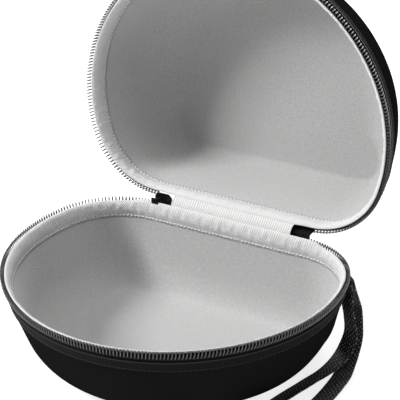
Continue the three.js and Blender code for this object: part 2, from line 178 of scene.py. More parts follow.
# %% [markdown]
# ## From a grid of points to a mesh
# A grid of points becomes quads, with a pattern map in millimetres so that a weave follows the cloth. A
# closed shape that comes out inside out is turned round by the sign of its volume.


# %% Mesh helpers
MERGE_DISTANCE = 2e-6


def mesh_from_grid(name, points, pattern=None, wrap=(False, False), caps=False):
    """Each quad joins neighbours along and across the grid. Where a direction wraps, its last row joins its
    first, and pattern has one more row than points. Caps close the two ends of a tube."""
    rows, columns = points.shape[:2]
    steps = np.arange(rows - (not wrap[0])), np.arange(columns - (not wrap[1]))
    i, j = (v.ravel() for v in np.meshgrid(*steps, indexing="ij"))
    corners = ((i, j), (i + 1, j), (i + 1, j + 1), (i, j + 1))
    faces = np.stack([(a % rows) * columns + b % columns for a, b in corners], axis=1)
    if pattern is None:
        pattern = np.zeros((rows + 1, columns + 1, 2))
    spots = np.stack([pattern[a, b] for a, b in corners], axis=1)
    loops = [tuple(f) for f in faces.tolist()]
    spots = spots.reshape(-1, 2)
    if caps:
        ends = (np.arange(columns)[::-1], np.arange(columns) + (rows - 1) * columns)
        loops += [tuple(end.tolist()) for end in ends]
        spots = np.concatenate([spots, pattern[0, :columns][::-1], pattern[rows - 1, :columns]])
    mesh = bpy.data.meshes.new(name)
    mesh.from_pydata((points.reshape(-1, 3) * MM).tolist(), [], loops)
    layer = mesh.uv_layers.new(name="pattern")
    layer.data.foreach_set("uv", spots.astype(np.float32).ravel())
    mesh.update()
    return mesh


def tidy(mesh, smooth=True):
    """Merges doubled points, then points the faces outwards by the sign of the enclosed volume."""
    work = bmesh.new()
    work.from_mesh(mesh)
    bmesh.ops.remove_doubles(work, verts=work.verts, dist=MERGE_DISTANCE)
    if work.calc_volume(signed=True) < 0:
        bmesh.ops.reverse_faces(work, faces=work.faces)
    for face in work.faces:
        face.smooth = smooth
    work.to_mesh(mesh)
    work.free()
    return mesh


def piece(mesh, body, slot, *nodes, finish=None):
    """A finished piece: an object at the origin that rides on a body and stands for its CAD nodes."""
    obj = bpy.data.objects.new(mesh.name, mesh)
    bpy.context.scene.collection.objects.link(obj)
    if finish is not None:
        mesh.materials.append(finish)
    if body is not None:
        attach(obj, body)
    if nodes:
        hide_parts(*nodes)
    print(f"{mesh.name}: {len(mesh.polygons)} faces")
    return obj


# %% [markdown]
# ## Writing shaders as arithmetic
# A weave is a sum and product of waves, which is awkward to draw as boxes and wires. A small class wraps a
# socket, so that the pattern can be written as an expression and each operator adds its own Math node.


# %% Shader arithmetic
class Wire:
    """One value socket. Its operators add Math nodes to the same material."""

    def __init__(self, finish, socket):
        self.finish, self.socket = finish, socket

    def math(self, operation, *others):
        values = [self, *others]
        return self.finish.node("Math", {"operation": operation}, *values)

    def __add__(self, other):
        return self.math("ADD", other)

    def __mul__(self, other):
        return self.math("MULTIPLY", other)

    def __sub__(self, other):
        return self.math("SUBTRACT", other)

    def __truediv__(self, other):
        return self.math("DIVIDE", other)

    def __pow__(self, other):
        return self.math("POWER", other)

    def __rsub__(self, other):
        return (self * -1) + other

    __radd__, __rmul__ = __add__, __mul__

    def sine(self):
        return self.math("SINE")

    def size(self):
        return self.math("ABSOLUTE")

    def part(self):
        return self.math("FRACT")

    def step(self, low, high):
        """0 below low, 1 above high, eased between."""
        settings = {"interpolation_type": "SMOOTHSTEP"}
        return self.finish.node("MapRange", settings, self, low, high, 0.0, 1.0)


class Finish:
    """A material being built round one Principled shader."""

    def __init__(self, name, **constants):
        self.material = bpy.data.materials.new(name)
        self.material.use_nodes = True
        self.tree = self.material.node_tree
        self.shader = self.tree.nodes["Principled BSDF"]
        for socket, value in constants.items():
            self.shader.inputs[socket.replace("_", " ")].default_value = value

    def node(self, kind, settings=None, *values, output=0, **named):
        """Adds a node, sets its settings, then its sockets by order or by name."""
        node = self.tree.nodes.new("ShaderNode" + kind)
        for key, value in (settings or {}).items():
            setattr(node, key, value)
        for key, value in [*enumerate(values), *named.items()]:
            socket = node.inputs[key.replace("_", " ") if isinstance(key, str) else key]
            if isinstance(value, Wire):
                self.tree.links.new(value.socket, socket)
            else:
                socket.default_value = value
        return Wire(self, node.outputs[output])

    def split(self, vector):
        """The three numbers of a vector."""
        first = self.node("SeparateXYZ", None, vector)
        outputs = first.socket.node.outputs
        return [Wire(self, outputs[k]) for k in range(3)]

    def pattern(self):
        """Position on the cloth in millimetres: along the piece, then across it."""
        return self.split(self.node("UVMap", {"uv_map": "pattern"}))[:2]

    def place(self):
        """Position in the object's own space, in millimetres, as a vector."""
        point = self.node("TexCoord", None, output=3)
        return self.node("VectorMath", {"operation": "SCALE"}, point, Scale=1000.0)

    def cloud(self, vector, scale, detail=2.0, roughness=0.5):
        """Smooth noise from 0 to 1, whose lumps are about 1 / scale apart."""
        return self.node("TexNoise", None, Vector=vector, Scale=scale, Detail=detail, Roughness=roughness)

    def blend(self, factor, first, second):
        """A colour that goes from the first to the second as the factor goes from 0 to 1."""
        mix = self.node("Mix", {"data_type": "RGBA"}, output=2)
        node = mix.socket.node
        for index, value in ((0, factor), (6, first), (7, second)):
            if isinstance(value, Wire):
                self.tree.links.new(value.socket, node.inputs[index])
            else:
                node.inputs[index].default_value = (*value, 1.0) if index else value
        return mix

    def feed(self, socket, wire):
        self.tree.links.new(wire.socket, self.shader.inputs[socket])

    def bump(self, height, depth_mm, strength=1.0):
        """Relief of that depth, into the shader's normal."""
        raised = self.node("Bump", None, Height=height, Distance=depth_mm * MM, Strength=strength)
        self.feed("Normal", raised)


def grey(level, warmth=0.0):
    """A near-neutral colour; warmth tints it slightly."""
    return (level * (1 + warmth), level, level * (1 - warmth))


def ribs(wire, pitch):
    """Rounded ribs from 0 to 1, one in each pitch."""
    return (wire * (2 * math.pi / pitch)).sine() * 0.5 + 0.5


def checks(u, v, pitch_u, pitch_v):
    """Over and under of a plain weave: the product of two waves, from -1 to 1."""
    return (u * (math.pi / pitch_u)).sine() * (v * (math.pi / pitch_v)).sine()


# %% [markdown]
# ## The finishes
# The cover is a coated cloth, almost without grain. The lining is a brushed knit whose loops show only as a
# fine mottle. Both read the object's own coordinates, in millimetres, because noise has no direction to
# follow. The foam between them is seen by nobody, but it is a piece, so it has its cells.


# %% Cover, foam and lining
def cover_finish():
    """A matt near-black, a little uneven in broad patches, with a few specks of dust."""
    f = Finish("cover_skin", Roughness=0.75, Specular_IOR_Level=0.0)
    at = f.place()
    fine, broad = f.cloud(at, 2.6, 3.0, 0.6), f.cloud(at, 0.035, 2.0)
    dust = f.cloud(at, 0.9, 4.0, 0.7).step(0.62, 0.8)
    shade = f.blend(broad, grey(0.007), grey(0.0105))
    f.feed("Base Color", f.blend(dust * 0.35, shade, grey(0.014)))
    f.feed("Roughness", broad * 0.1 + fine * 0.12 + 0.66)
    f.bump(fine * 0.7 + f.cloud(at, 0.25, 2.0) * 0.3, 0.05, 0.5)
    return f.material


def foam_finish():
    """Fine cells, as colour and as relief."""
    f = Finish("eva_foam", Roughness=0.9, Specular_IOR_Level=0.2)
    cells = f.cloud(f.place(), 1.8, 2.0)
    f.feed("Base Color", f.blend(cells, grey(0.016), grey(0.03)))
    f.bump(cells, 0.15, 0.7)
    return f.material


def knit_finish():
    """Loops are two crossing waves, a loop every 0.55 by 0.75 mm, that wander with noise. Fibres are finer
    noise, and take most of the mottle."""
    f = Finish("knit_lining", Roughness=0.95, Specular_IOR_Level=0.15, Sheen_Weight=0.25,
               Sheen_Roughness=0.6)
    at = f.place()
    x, y, z = f.split(at)
    wander = f.cloud(at, 0.12, 2.0) * 1.2
    loops = checks(x + wander, y + z + wander, 0.55, 0.75).size()
    fibres = f.cloud(at, 1.5, 3.0, 0.8)
    broad = f.cloud(at, 0.02, 3.0)
    mottle = fibres * 0.8 + loops * 0.2
    shade = f.blend(mottle.step(0.3, 0.68), grey(0.3, 0.004), grey(0.54, 0.004))
    f.feed("Base Color", f.blend(broad * 0.3, shade, grey(0.36, 0.004)))
    f.feed("Roughness", fibres * 0.1 + 0.86)
    f.bump(mottle, 0.25, 0.8)
    return f.material


# %% [markdown]
# Woven cloths come next. Their ribs must follow the strip, round the rim and over its edge, so they read the
# pattern map in millimetres and not the object's own coordinates.


# %% Binding, tape, hinge and webbing
TAPE_STRIPE = 3.2


def twill_finish():
    """Slanting ribs 1.25 mm apart, softened by creases. The hem, where the cloth is cut and meets the
    lining, carries a dark band of painted shadow.
    """
    f = Finish("twill_binding", Roughness=0.85, Specular_IOR_Level=0.25, Sheen_Weight=0.2)
    u, v = f.pattern()
    at = f.place()
    creases = f.cloud(at, 0.16, 3.0, 0.6)
    rib = ribs(u + v * 0.75 + creases * 0.5, 1.25)
    yarn = ribs(v * 1.0 - u * 0.25, 0.5)
    height = rib * 0.8 + yarn * 0.2
    worn = f.cloud(at, 0.5, 3.0)
    # Painted shadow: the hem mask darkens the colour where the binding's edge meets the lining, and on round
    # its hidden underside.
    hem = (v.step(11.0, 11.4) - v.step(15.0, 18.0)) * 0.6
    shade = f.blend(rib.step(0.05, 0.7), grey(0.42, 0.003), grey(0.9, 0.003))
    f.feed("Base Color", f.blend(hem, f.blend(worn * 0.3, shade, grey(0.7, 0.003)), grey(0.12)))
    f.feed("Roughness", 0.9 - rib * 0.12)
    f.bump(height + creases * 1.4, 0.45, 0.9)
    return f.material


def tape_finish(name, lift=1.0, fold_highlight_strength=0.8):
    """Herringbone: ribs whose slant turns back at each half stripe. A thin pale line of painted highlight
    lies on the outer face where the tape folds in behind the coil; the third argument is how strongly it
    shows, and lift scales the colour."""
    f = Finish(name, Roughness=0.8, Specular_IOR_Level=0.05)
    u, v = f.pattern()
    turn = ((v / TAPE_STRIPE).part() - 0.5).size() * TAPE_STRIPE
    rib = ribs(u + turn, 0.9)
    warp = ribs(v, 0.55)
    height = rib * 0.65 + warp * 0.35
    fluff = f.cloud(f.place(), 1.4, 3.0)
    shade = f.blend(height.step(0.4, 0.9), grey(0.002 * lift), grey(0.03 * lift))
    shade = f.blend(fluff.step(0.6, 0.85) * 0.4, shade, grey(0.045 * lift))
    # Painted highlight: a thin pale line on the tape's outer face, where it folds in behind the coil.
    painted_fold_highlight = v.step(21.2, 21.5) - v.step(22.1, 22.4)
    f.feed("Base Color", f.blend(painted_fold_highlight * fold_highlight_strength, shade, grey(0.2)))
    f.feed("Roughness", 0.85 - height * 0.2)
    f.bump(height, 0.22, 0.9)
    return f.material


def webbing_finish():
    """Basket weave: cells of 1.45 by 1.35 mm, over and under, whose tops catch the light unevenly."""
    f = Finish("webbing", Roughness=0.6, Specular_IOR_Level=0.3)
    u, v = f.pattern()
    lean = u + v * 0.18
    over = checks(lean, v, 1.45, 1.35)
    cells = over.size() ** 0.6
    strands = ribs(u, 0.4)
    height = cells * 0.85 + strands * 0.15
    glint = over.step(0.35, 0.8) + (over * -1).step(0.7, 0.98) * 0.3
    glint = glint * (f.cloud(f.place(), 0.6, 2.0).step(0.3, 0.7) * 0.7 + 0.3)
    f.feed("Base Color", f.blend(glint, grey(0.003), grey(0.36)))
    f.feed("Roughness", 0.75 - cells * 0.25)
    f.bump(height, 0.5, 1.0)
    return f.material


# %% [markdown]
# The last finishes are the hard and shiny ones. Nylon wire is smooth but rubbed, thread shows its twist, and
# the slider's black paint is thin where fingers rub it, which noise in the base colour and roughness gives.


# %% Coil, thread and metal
def coil_finish():
    """Smooth dark nylon, paler in the patches that rub."""
    f = Finish("coil_nylon", Roughness=0.3, Specular_IOR_Level=1.0)
    rub = f.cloud(f.place(), 0.8, 3.0)
    f.feed("Base Color", f.blend(rub.step(0.3, 0.7), grey(0.012), grey(0.06)))
    f.feed("Roughness", rub * 0.2 + 0.2)
    return f.material


def thread_finish(name, low, high):
    """Twisted yarn: slanting ribs along the stitch."""
    f = Finish(name, Roughness=0.6, Specular_IOR_Level=0.35)
    u, v = f.pattern()
    ply = ribs(u + v * 0.6, 0.42)
    f.feed("Base Color", f.blend(ply, grey(low), grey(high)))
    f.feed("Roughness", 0.7 - ply * 0.2)
    f.bump(ply, 0.06, 0.8)
    return f.material


def metal_finish():
    """Black paint on die-cast metal, brushed thin where fingers rub it."""
    f = Finish("slider_metal", Metallic=0.85, Specular_IOR_Level=0.5)
    at = f.place()
    rub, scratch = f.cloud(at, 0.5, 4.0), f.cloud(at, 3.0, 2.0)
    f.feed("Base Color", f.blend(rub.step(0.58, 0.75), grey(0.02), grey(0.09)))
    f.feed("Roughness", scratch * 0.2 + rub * 0.15 + 0.22)
    f.bump(scratch, 0.02, 0.4)
    return f.material


COVER, FOAM, KNIT, TWILL = cover_finish(), foam_finish(), knit_finish(), twill_finish()
# The two zip tapes differ only in how strongly the painted highlight at the fold shows: faint on the base,
# strong on the lid.
TAPE = {"base": tape_finish("base_zip_tape", 0.6, 0.12), "lid": tape_finish("lid_zip_tape", 0.6, 0.8)}
HINGE_WEAVE = tape_finish("hinge_weave", 0.8, 0.0)
WEBBING = webbing_finish()
COIL, METAL = coil_finish(), metal_finish()
DARK_THREAD = thread_finish("dark_thread", 0.006, 0.03)
PALE_THREAD = thread_finish("pale_thread", 0.7, 0.92)
print(len(bpy.data.materials), "materials")

# %% [markdown]
# ## The wrist strap
# The strap is one length of flat nylon webbing with both ends sewn to the corner. It hangs beside the case,
# lies forward on the table and turns back on its edge, out of view. It could be a curve with a flat bevel,
# but webbing twists by its width, so it is a flat section carried along a smooth route with its own width
# direction at every point.

# %% Route of the strap: x, y, z, then the width's compass angle and rise in degrees
STRAP_ROUTE = np.array([
    [88, 147.8, 46.6, -44, 0], [90, 148.1, 38, -42, 0], [91.5, 148.3, 30.3, -33, 0],
    [92, 146.6, 21.2, -17, 0], [93, 143.6, 12.9, -10, 0], [94.5, 137.4, 7.8, -4, 0],
    [95.5, 131.6, 4.2, -1, 0], [97, 124.9, 2.4, 2, 0], [99.1, 116.6, 1.3, 5, 0],
    [101, 102.7, 1.2, 5, 0], [101.8, 88.6, 1.2, 3, 0], [101.7, 77, 1.4, 0, 2],
    [101.4, 66, 2.6, 0, 14], [101, 56, 4.4, 0, 40], [99.6, 46, 5.9, 0, 72],
    [95.8, 38, 6.2, 0, 90], [89.5, 35, 6.2, 0, 90], [83.2, 38, 6.2, 0, 90],
    [80, 46, 5.9, 0, 72], [79.6, 56, 4.4, 0, 40], [80.2, 66, 3.1, -8, 20],
    [81.8, 75.7, 2.6, -11, 15], [83.5, 84, 2.6, -16, 15], [85.5, 92, 2.7, -18, 15],
    [87.5, 100, 3, -20, 15], [90.3, 106.8, 4, -18, 14], [92.1, 113, 5, -12, 12],
    [92.9, 120.4, 5.6, -6, 8], [92.4, 132, 7.4, -8, 3], [92.3, 139.3, 14.1, -18, 0],
    [91, 140.4, 24.5, -26, 0], [89, 141.9, 32.9, -28, 0], [87.9, 145, 40, -38, 0],
    [86.8, 146.7, 46, -44, 0]], float)
STRAP_WIDTH, STRAP_THICKNESS = 11.0, 1.6
STRAP_RINGS = 420
EDGE_POWER_ACROSS, EDGE_POWER_THROUGH = 0.35, 0.6


def unit(vectors):
    return vectors / np.linalg.norm(vectors, axis=-1, keepdims=True)


def smooth_route(knots, count):
    """A cubic through the knots: each end's slope is that of the line between its neighbours, and the
    parameter is the distance along the knots."""
    steps = np.linalg.norm(np.diff(knots[:, :3], axis=0), axis=1)
    at = np.concatenate([[0], np.cumsum(steps)])
    slopes = np.gradient(knots, at, axis=0)
    t = np.linspace(0, at[-1], count)
    k = np.clip(np.searchsorted(at, t, side="right") - 1, 0, len(at) - 2)
    h = (at[k + 1] - at[k])[:, None]
    f = ((t - at[k])[:, None]) / h
    return ((2 * f**3 - 3 * f**2 + 1) * knots[k] + (f**3 - 2 * f**2 + f) * h * slopes[k]
            + (3 * f**2 - 2 * f**3) * knots[k + 1] + (f**3 - f**2) * h * slopes[k + 1])


def flat_section(width, thickness, sides=16):
    """A superellipse: flat faces with rounded edges, as across and through distances."""
    angle = np.arange(sides + 1) * 2 * math.pi / sides
    across = np.sign(np.cos(angle)) * np.abs(np.cos(angle)) ** EDGE_POWER_ACROSS * width / 2
    through = np.sign(np.sin(angle)) * np.abs(np.sin(angle)) ** EDGE_POWER_THROUGH * thickness / 2
    return across, through


def build_strap():
    """Centre plus across times half a width plus through times half a thickness, ring by ring. Across is the
    knots' width direction with its part along the route taken off."""
    knots = STRAP_ROUTE.copy()
    knots[:, 1] -= SHIFT_Y
    heading, rise = np.radians(knots[:, 3]), np.radians(knots[:, 4])
    width = np.stack([np.cos(rise) * np.cos(heading), np.cos(rise) * np.sin(heading), np.sin(rise)], axis=1)
    route = smooth_route(np.concatenate([knots[:, :3], width], axis=1), STRAP_RINGS)
    centre = route[:, :3]
    along = unit(np.gradient(centre, axis=0))
    across = route[:, 3:] - (route[:, 3:] * along).sum(1, keepdims=True) * along
    across = unit(across)
    through = np.cross(along, across)
    a, b = flat_section(STRAP_WIDTH, STRAP_THICKNESS)
    rings = across[:, None] * a[None, :-1, None] + through[:, None] * b[None, :-1, None]
    points = centre[:, None] + rings
    run = np.concatenate([[0], np.cumsum(np.linalg.norm(np.diff(centre, axis=0), axis=1))])
    pattern = np.stack(np.broadcast_arrays(a[None, :], run[:, None]), axis=-1)
    grid = mesh_from_grid("wrist_strap_webbing", points, pattern, wrap=(False, True), caps=True)
    mesh = tidy(grid)
    strap = piece(mesh, "base", "webbing", "wrist_strap", finish=WEBBING)
    tuple(centre[0] * MM)
    (centre * MM).tolist()


build_strap()

# %% [markdown]
# ## The moulded bowls
# Foam, cover and lining are each a thin closed bowl: from the middle of the underside, out and up the wall,
# over the top edge and down the other face. The fold at the top is rounded. A real moulded shell is never
# quite true, so the faces wander by a fraction of a millimetre.

# %% Bowls
BOWL_ROWS = 320
WANDER_WAVES = 5
WANDER_SEED = 3
along_ring = np.linspace(0, RIM_LENGTH, BOWL_ROWS, endpoint=False)


def bowl_columns(top, out):
    """Points of one face from its top edge to the middle of the bottom: levels down the wall, then the
    bottom's outline shrunk towards its middle."""
    straight = np.linspace(top, STRAIGHT_WALL, 8)
    fillet = np.linspace(STRAIGHT_WALL, BOTTOM_DOWN, 18)[1:]
    levels = np.concatenate([straight, fillet])
    ring = wall(along_ring[:, None], levels[None], out)
    edge = ring[:, -1:]
    middle = np.array([0, BACK_Y / 2 - SHIFT_Y, 0]) + edge[0, 0] * [0, 0, 1]
    share = np.array([0.88, 0.7, 0.45, 0.2, 0.0])[None, :, None]
    return np.concatenate([ring, middle + (edge - middle) * share], axis=1)


def uneven(points, amount, seed):
    """Adds a slow wander: the mean of a few long waves, each along its own seeded direction."""
    random = np.random.default_rng(seed)
    shift = np.zeros_like(points)
    for _ in range(WANDER_WAVES):
        wave = random.uniform(0.02, 0.07, 3) * random.choice([-1, 1], 3)
        phase, way = random.uniform(0, 6.28), unit(random.normal(size=3))
        shift += np.sin(points @ wave + phase)[..., None] * way
    return points + amount * shift / WANDER_WAVES


def build_bowl(name, half, top, inner, outer, wander, lip, finish, slot, node):
    """The outer face from the bottom's middle to the top, a rounded lip, then the inner face back down."""
    outside, inside = bowl_columns(top, outer), bowl_columns(top, inner)
    lip_point = wall(along_ring, top - lip, (inner + outer) / 2)[:, None]
    points = np.concatenate([outside[:, ::-1], lip_point, inside], axis=1)
    points = uneven(points, wander, WANDER_SEED)
    points[..., 2] = np.maximum(points[..., 2], 0)
    if half == "lid":
        points = as_lid(points)
    mesh = tidy(mesh_from_grid(f"{half}_{name}", points, wrap=(True, False)))
    piece(mesh, half, slot, f"{half}_{node}", finish=finish)


for half in ("base", "lid"):
    build_bowl("cover", half, top=13.0, inner=2.5, outer=3.15, wander=0.12, lip=0.2,
               finish=COVER, slot="cover_skin", node="outer_cover")
    build_bowl("foam", half, top=4.8, inner=0.8, outer=2.35, wander=0.0, lip=0.3,
               finish=FOAM, slot="eva_foam", node="shell_core")
    build_bowl("knit_lining", half, top=8.6, inner=0.0, outer=0.5, wander=0.1, lip=0.1,
               finish=KNIT, slot="knit_lining", node="lining")

# %% [markdown]
# ## The binding, tape and hinge
# The binding is a strip of twill folded over the inside edge. It is puffed up between the zip and the row of
# stitches, and puckers where the stitches pull it down. The zip tape starts behind the coil, steps out over
# the foam's edge and lies on the cover. A curve with a bevel could carry one profile, but here the profile
# itself changes along the way, so both are closed profiles carried round the rim as one grid.


# %% Profiles carried round the rim
def carry(name, half, along, profile, finish, slot, nodes, closed, shape=None):
    """Each profile point is a distance down and out; shape may change both with the distance along."""
    down, out = (np.array(v, float)[None, :] for v in zip(*profile))
    down, out = (np.repeat(v, len(along), axis=0) for v in (down, out))
    if shape is not None:
        down, out = shape(along[:, None], down, out)
    points = wall(along[:, None], down, out)
    if half == "lid":
        points = as_lid(points)
    steps = np.hypot(np.diff(down[0], append=down[0, 0]), np.diff(out[0], append=out[0, 0]))
    run = np.concatenate([[0], np.cumsum(steps)])
    rows = np.append(along, RIM_LENGTH) if closed else along
    pattern = np.stack(np.broadcast_arrays(rows[:, None], run[None, :]), axis=-1)
    grid = mesh_from_grid(f"{half}_{name}", points, pattern, wrap=(closed, True), caps=not closed)
    piece(tidy(grid), half, slot, *nodes, finish=finish)


def rounded(corners, radius=0.25, steps=3):
    """A closed profile with each corner rounded by a quadratic curve that starts radius before it."""
    p = np.array(corners, float)
    to_last, to_next = np.roll(p, 1, 0) - p, np.roll(p, -1, 0) - p
    lengths = (np.linalg.norm(v, axis=1, keepdims=True) for v in (to_last, to_next))
    reach = [np.minimum(radius, 0.45 * length) for length in lengths]
    start, end = p + unit(to_last) * reach[0], p + unit(to_next) * reach[1]
    t = np.linspace(0, 1, steps + 1)[None, :, None]
    curve = (1 - t) ** 2 * start[:, None] + 2 * t * (1 - t) * p[:, None] + t**2 * end[:, None]
    return [tuple(v) for v in curve.reshape(-1, 2)]


ZIP_START, ZIP_END = back_along(-53.3), back_along(57.0) + RIM_LENGTH
STITCH_PITCH = 2.5
BINDING_SEAM = 9.9
HINGE_EASE = 12
SWELL = 1.35


def puckers(along, down, out):
    """Out grows at the seam, by a bell curve times a wave of one stitch. It shrinks between, by half a
    sine, so that the cloth swells inwards. A slanting wave of one stitch adds pleats, and slow waves
    add wander."""
    near = np.exp(-((down - BINDING_SEAM) / 1.3) ** 2)
    stitch = 0.5 + 0.5 * np.cos(2 * math.pi * along / STITCH_PITCH)
    slow = (np.sin(along * 0.31 + down * 0.5) + np.sin(along * 0.83 - down * 0.4 + 1)
            + 0.8 * np.sin(along * 1.37 + 2))
    face = (out < 0.2).astype(float)
    swell = np.sin(np.clip((down - 0.3) / (BINDING_SEAM - 0.3), 0, 1) ** 0.6 * math.pi)
    slant = 0.5 + 0.5 * np.cos(2 * math.pi * (along + 0.6 * down) / STITCH_PITCH)
    pleat = np.exp(-((down - 6.2) / 2.0) ** 2) * slant
    hem = np.exp(-((down - 10.4) / 0.7) ** 2)
    inwards = swell * (SWELL + 0.12 * slow) + pleat * 0.4 + hem * (0.3 + 0.12 * slow)
    out = out + face * (near * stitch * 0.3 - inwards)
    return down, out


binding_profile = ([(-0.1, 0.35), (0.05, 0.02)] + [(d, 0.0) for d in np.linspace(0.5, 11, 26)]
                   + [(11.3, -0.15), (11.35, 0.3), (11.0, 0.4), (5.5, 0.45), (0.1, 0.62)])


def edge_at_hinge(reach, width):
    """Near the hinge the folded edge stands up further, by reach, eased off past width."""

    def shape(along, down, out):
        across = np.abs(np.mod(along, RIM_LENGTH) - HALF_RIM)
        ease = np.clip((across - width) / HINGE_EASE, 0, 1)
        raised = (1 - ease * ease * (3 - 2 * ease)) * np.clip(1 - down / 3, 0, 1) ** 0.5
        down, out = puckers(along, down, out)
        return down - reach * raised, out

    return shape


HINGE_EDGE = {"base": edge_at_hinge(2.0, 58), "lid": edge_at_hinge(1.0, 40)}
ring_fine = np.linspace(0, RIM_LENGTH, 1100, endpoint=False)
zip_run = np.linspace(ZIP_START, ZIP_END, 620)
tape_profile = rounded([(1.2, 0.62), (4.9, 0.66), (6.4, 2.45), (14.1, 3.05), (14.45, 3.3), (14.1, 3.6),
                        (6.2, 3.3), (4.4, 1.15), (1.2, 1.05)], 0.5, 4)
for half in ("base", "lid"):
    carry("binding", half, ring_fine, binding_profile, TWILL, "twill_binding", [f"{half}_inner_binding"],
          closed=True, shape=HINGE_EDGE[half])
    carry("tape", half, zip_run, tape_profile, TAPE[half], "zip_tape", [f"{half}_zip_tape"], closed=False)

# %% [markdown]
# ## The zip
# A coil zip is one nylon filament wound into a flattened spiral and sewn to its tape. Each turn has a fat
# head on the open edge that locks with the other side. It could be a repeated tooth, but the spiral gives
# the slant of the turns and the way they run together, so it is one tube along a computed path.

# %% Coil
COIL_PITCH = 2.0
COIL_WIRE = 0.35
COIL_UNEVEN = 0.92
COIL_STEPS = 12
COIL_SIDES = 5
COIL_OVERRUN = 3
COIL_MIDDLE_DOWN, COIL_MIDDLE_OUT = 1.2, 2.25
COIL_HALF_HEIGHT, COIL_HALF_DEPTH = 3.3, 1.2
HEAD_SWELL = 0.06


def build_coil(half):
    """The centre goes round a flattened circle, down and out. It moves along the rim mostly while it is at
    the bottom of the turn, so both legs stand upright, and its tube is widened at the top for the head."""
    turns = int((ZIP_END + COIL_OVERRUN - ZIP_START) / COIL_PITCH)
    angle = np.arange(turns * COIL_STEPS + 1) * 2 * math.pi / COIL_STEPS
    along = ZIP_START + (angle + COIL_UNEVEN * np.sin(angle)) / (2 * math.pi) * COIL_PITCH
    head = np.clip(-np.cos(angle), 0, 1) ** 6
    down = COIL_MIDDLE_DOWN + (COIL_HALF_HEIGHT - COIL_WIRE) * np.cos(angle)
    narrowing = 1 - 0.6 * np.clip(-np.cos(angle), 0, 1)
    out = COIL_MIDDLE_OUT + (COIL_HALF_DEPTH - COIL_WIRE) * np.sin(angle) * narrowing
    centre = wall(along, down, out)
    forward = unit(np.gradient(centre, axis=0))
    side = unit(np.cross(forward, unit(wall(along, down - 1, out) - centre) + 1e-3))
    lift = np.cross(side, forward)
    ring = np.arange(COIL_SIDES) * 2 * math.pi / COIL_SIDES
    radius = (COIL_WIRE + HEAD_SWELL * head)[:, None, None]
    points = centre[:, None] + radius * (side[:, None] * np.cos(ring)[None, :, None]
                                         + lift[:, None] * np.sin(ring)[None, :, None])
    if half == "lid":
        points = as_lid(points)
    mesh = tidy(mesh_from_grid(f"{half}_coil", points, wrap=(False, True), caps=True))
    piece(mesh, half, "coil_nylon", f"{half}_zip_coil", finish=COIL)


# %% [markdown]
# A braided cord runs inside the spiral and the tape's own edge lies against it. Together they close the
# legs of the coil from behind, and stop short of its heads, which stand clear of them.

# %% Cord inside the coil
core_profile = rounded([(1.5, 1.6), (3.9, 1.5), (3.9, 2.7), (1.5, 2.4)], 0.5, 3)
core_run = np.linspace(ZIP_START, ZIP_END + 2, 420)
for half in ("base", "lid"):
    build_coil(half)
    carry("coil_core", half, core_run, core_profile, TAPE[half], "zip_tape", [], closed=False)

# %% [markdown]
# ## Stitches
# Sewing shows as separate stitches with a small gap where the thread dives into the cloth. Each is the same
# few faces: a bowed rod, sunk at both ends, repeated along the seam with numpy.


# %% Stitches
TAPE_STITCH_PITCH = 2.9
TAPE_SEAM = 12.9


def stitch_run(along, down, out, length, radius, rise, slant=0.0):
    """One rod for each place along a seam: six rings of five points, thin and sunk by rise at the ends. Its
    ends are moved down the wall by slant, one way and the other."""
    t = np.linspace(-1, 1, 6)
    swell = np.sqrt(np.clip(1 - t**4, 0.05, 1))
    angle = np.arange(5) * 2 * math.pi / 5
    local_along = (t * length / 2)[None, :, None]
    local_down = (radius * swell)[None, :, None] * np.cos(angle)[None, None, :]
    local_out = ((radius * swell)[None, :, None] * np.sin(angle)[None, None, :]
                 + (rise * (swell - 1))[None, :, None])
    leaning = (t * slant)[None, :, None]
    return wall(along[:, None, None] + local_along, down + local_down + leaning, out + local_out)


def rods_mesh(name, rods):
    """Joins the rods' grids into one mesh: every rod has the same faces, moved on by the points before."""
    count, rings, sides = rods.shape[:3]
    i, j = (v.ravel() for v in np.meshgrid(np.arange(rings - 1), np.arange(sides), indexing="ij"))
    quads = np.stack([i * sides + j, (i + 1) * sides + j, (i + 1) * sides + (j + 1) % sides,
                      i * sides + (j + 1) % sides], axis=1)
    block = rings * sides
    faces = (quads[None] + (np.arange(count) * block)[:, None, None]).reshape(-1, 4)
    caps = np.stack([np.arange(sides)[::-1], np.arange(sides) + (rings - 1) * sides])
    ends = (caps[None] + (np.arange(count) * block)[:, None, None]).reshape(-1, sides)
    mesh = bpy.data.meshes.new(name)
    mesh.from_pydata((rods.reshape(-1, 3) * MM).tolist(), [], faces.tolist() + ends.tolist())
    spots = np.stack([np.tile(np.repeat(np.arange(rings), sides), count) * 0.6,
                      np.tile(np.arange(sides), count * rings) * 0.3], axis=1)
    index = np.zeros(len(mesh.loops), np.int32)
    mesh.loops.foreach_get("vertex_index", index)
    layer = mesh.uv_layers.new(name="pattern")
    layer.data.foreach_set("uv", spots[index].astype(np.float32).ravel())
    return tidy(mesh)


def build_stitches(half):
    """Pale stitches along the binding's seam, and finer dark ones near the tape's outer edge."""
    seam = np.arange(0, RIM_LENGTH - STITCH_PITCH / 2, STITCH_PITCH) + STITCH_PITCH / 2
    rods = stitch_run(seam, BINDING_SEAM, -0.22, length=1.6, radius=0.28, rise=0.3, slant=0.15)
    tape = np.arange(ZIP_START + 2, ZIP_END - 2, TAPE_STITCH_PITCH)
    dark = stitch_run(tape, TAPE_SEAM, 3.58, length=2.3, radius=0.2, rise=0.2)
    if half == "lid":
        rods, dark = as_lid(rods), as_lid(dark)
    piece(rods_mesh(f"{half}_binding_stitches", rods), half, "pale_thread", f"{half}_binding_stitch",
          finish=PALE_THREAD)
    piece(rods_mesh(f"{half}_tape_stitches", dark), half, "dark_thread", f"{half}_tape_stitch",
          finish=DARK_THREAD)


for half in ("base", "lid"):
    build_stitches(half)
